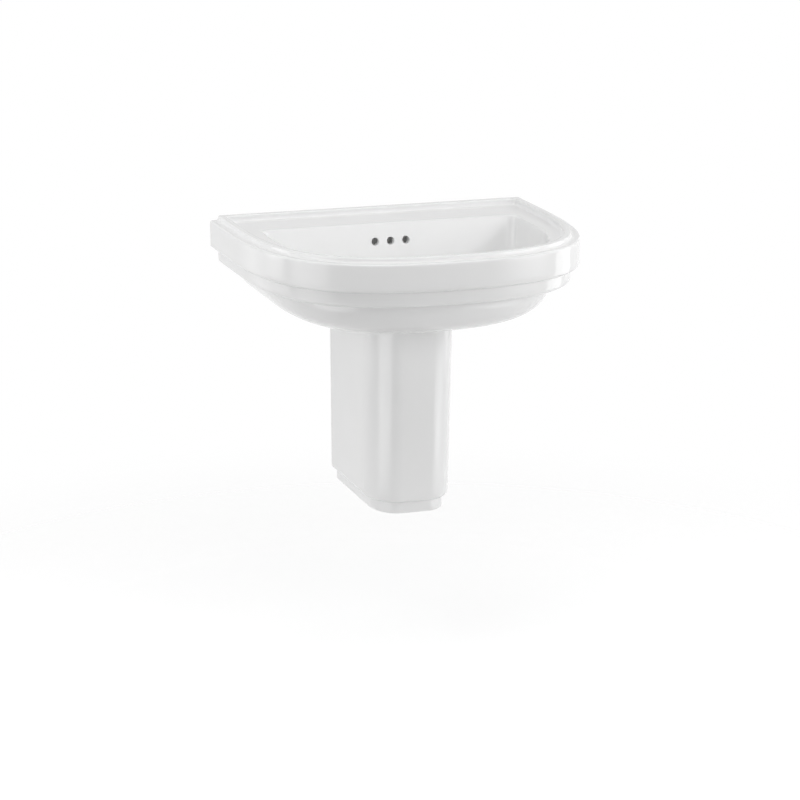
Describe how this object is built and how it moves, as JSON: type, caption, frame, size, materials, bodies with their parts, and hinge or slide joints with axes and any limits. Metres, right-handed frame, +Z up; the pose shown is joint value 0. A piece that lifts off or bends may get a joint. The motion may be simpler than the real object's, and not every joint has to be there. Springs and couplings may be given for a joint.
{
  "type": "wall-hung washbasin with half pedestal",
  "caption": "White glazed D-shaped washbasin with stepped bands and a raised rim, on a half pedestal that hides a bottle trap",
  "frame": {"origin": "midway between the two wall studs that carry the basin, on the wall plane", "axes": "+X right as seen from the front, +Y towards the wall, +Z up"},
  "size_m": [0.65, 0.58, 0.5477],
  "materials": {
    "white_china": "gloss white glaze",
    "chrome": "polished",
    "brass": "turned",
    "white_plastic": "moulded",
    "grey_plastic": "moulded",
    "zinc_steel": "zinc plated",
    "black_rubber": "moulded"
  },
  "bodies": {
    "basin_set": {"basin": "white_china", "semi_pedestal": "white_china", "waste_body": "chrome", "waste_flange_seal": "black_rubber", "waste_lower_seal": "black_rubber", "waste_back_nut": "brass", "plug_barrel": "brass", "trap_inlet_nut": "white_plastic", "trap_inlet_seal": "black_rubber", "trap_dip_tube": "white_plastic", "trap_body": "white_plastic", "trap_body_nut": "white_plastic", "trap_body_seal": "black_rubber", "trap_cup": "white_plastic", "trap_cup_seal": "black_rubber", "trap_outlet_nut": "white_plastic", "trap_outlet_seal": "black_rubber", "outlet_pipe": "white_plastic", "wall_rosette": "white_plastic", "outlet_rubber": "black_rubber", "wall_studs": "zinc_steel", "wall_sleeves": "grey_plastic", "wall_washers": "zinc_steel", "wall_nuts": "zinc_steel", "pedestal_studs": "zinc_steel", "pedestal_sleeves": "grey_plastic", "pedestal_washers": "zinc_steel", "pedestal_nuts": "zinc_steel", "pedestal_pads": "black_rubber"},
    "plug": {"plug_cap": "chrome", "plug_seal": "black_rubber", "plug_plunger": "brass"}
  },
  "joints": [
    {"name": "plug_lift", "type": "slide", "parent": "basin_set", "child": "plug", "axis": [0, 0, 1], "range_m": [0, 0.009]}
  ]
}
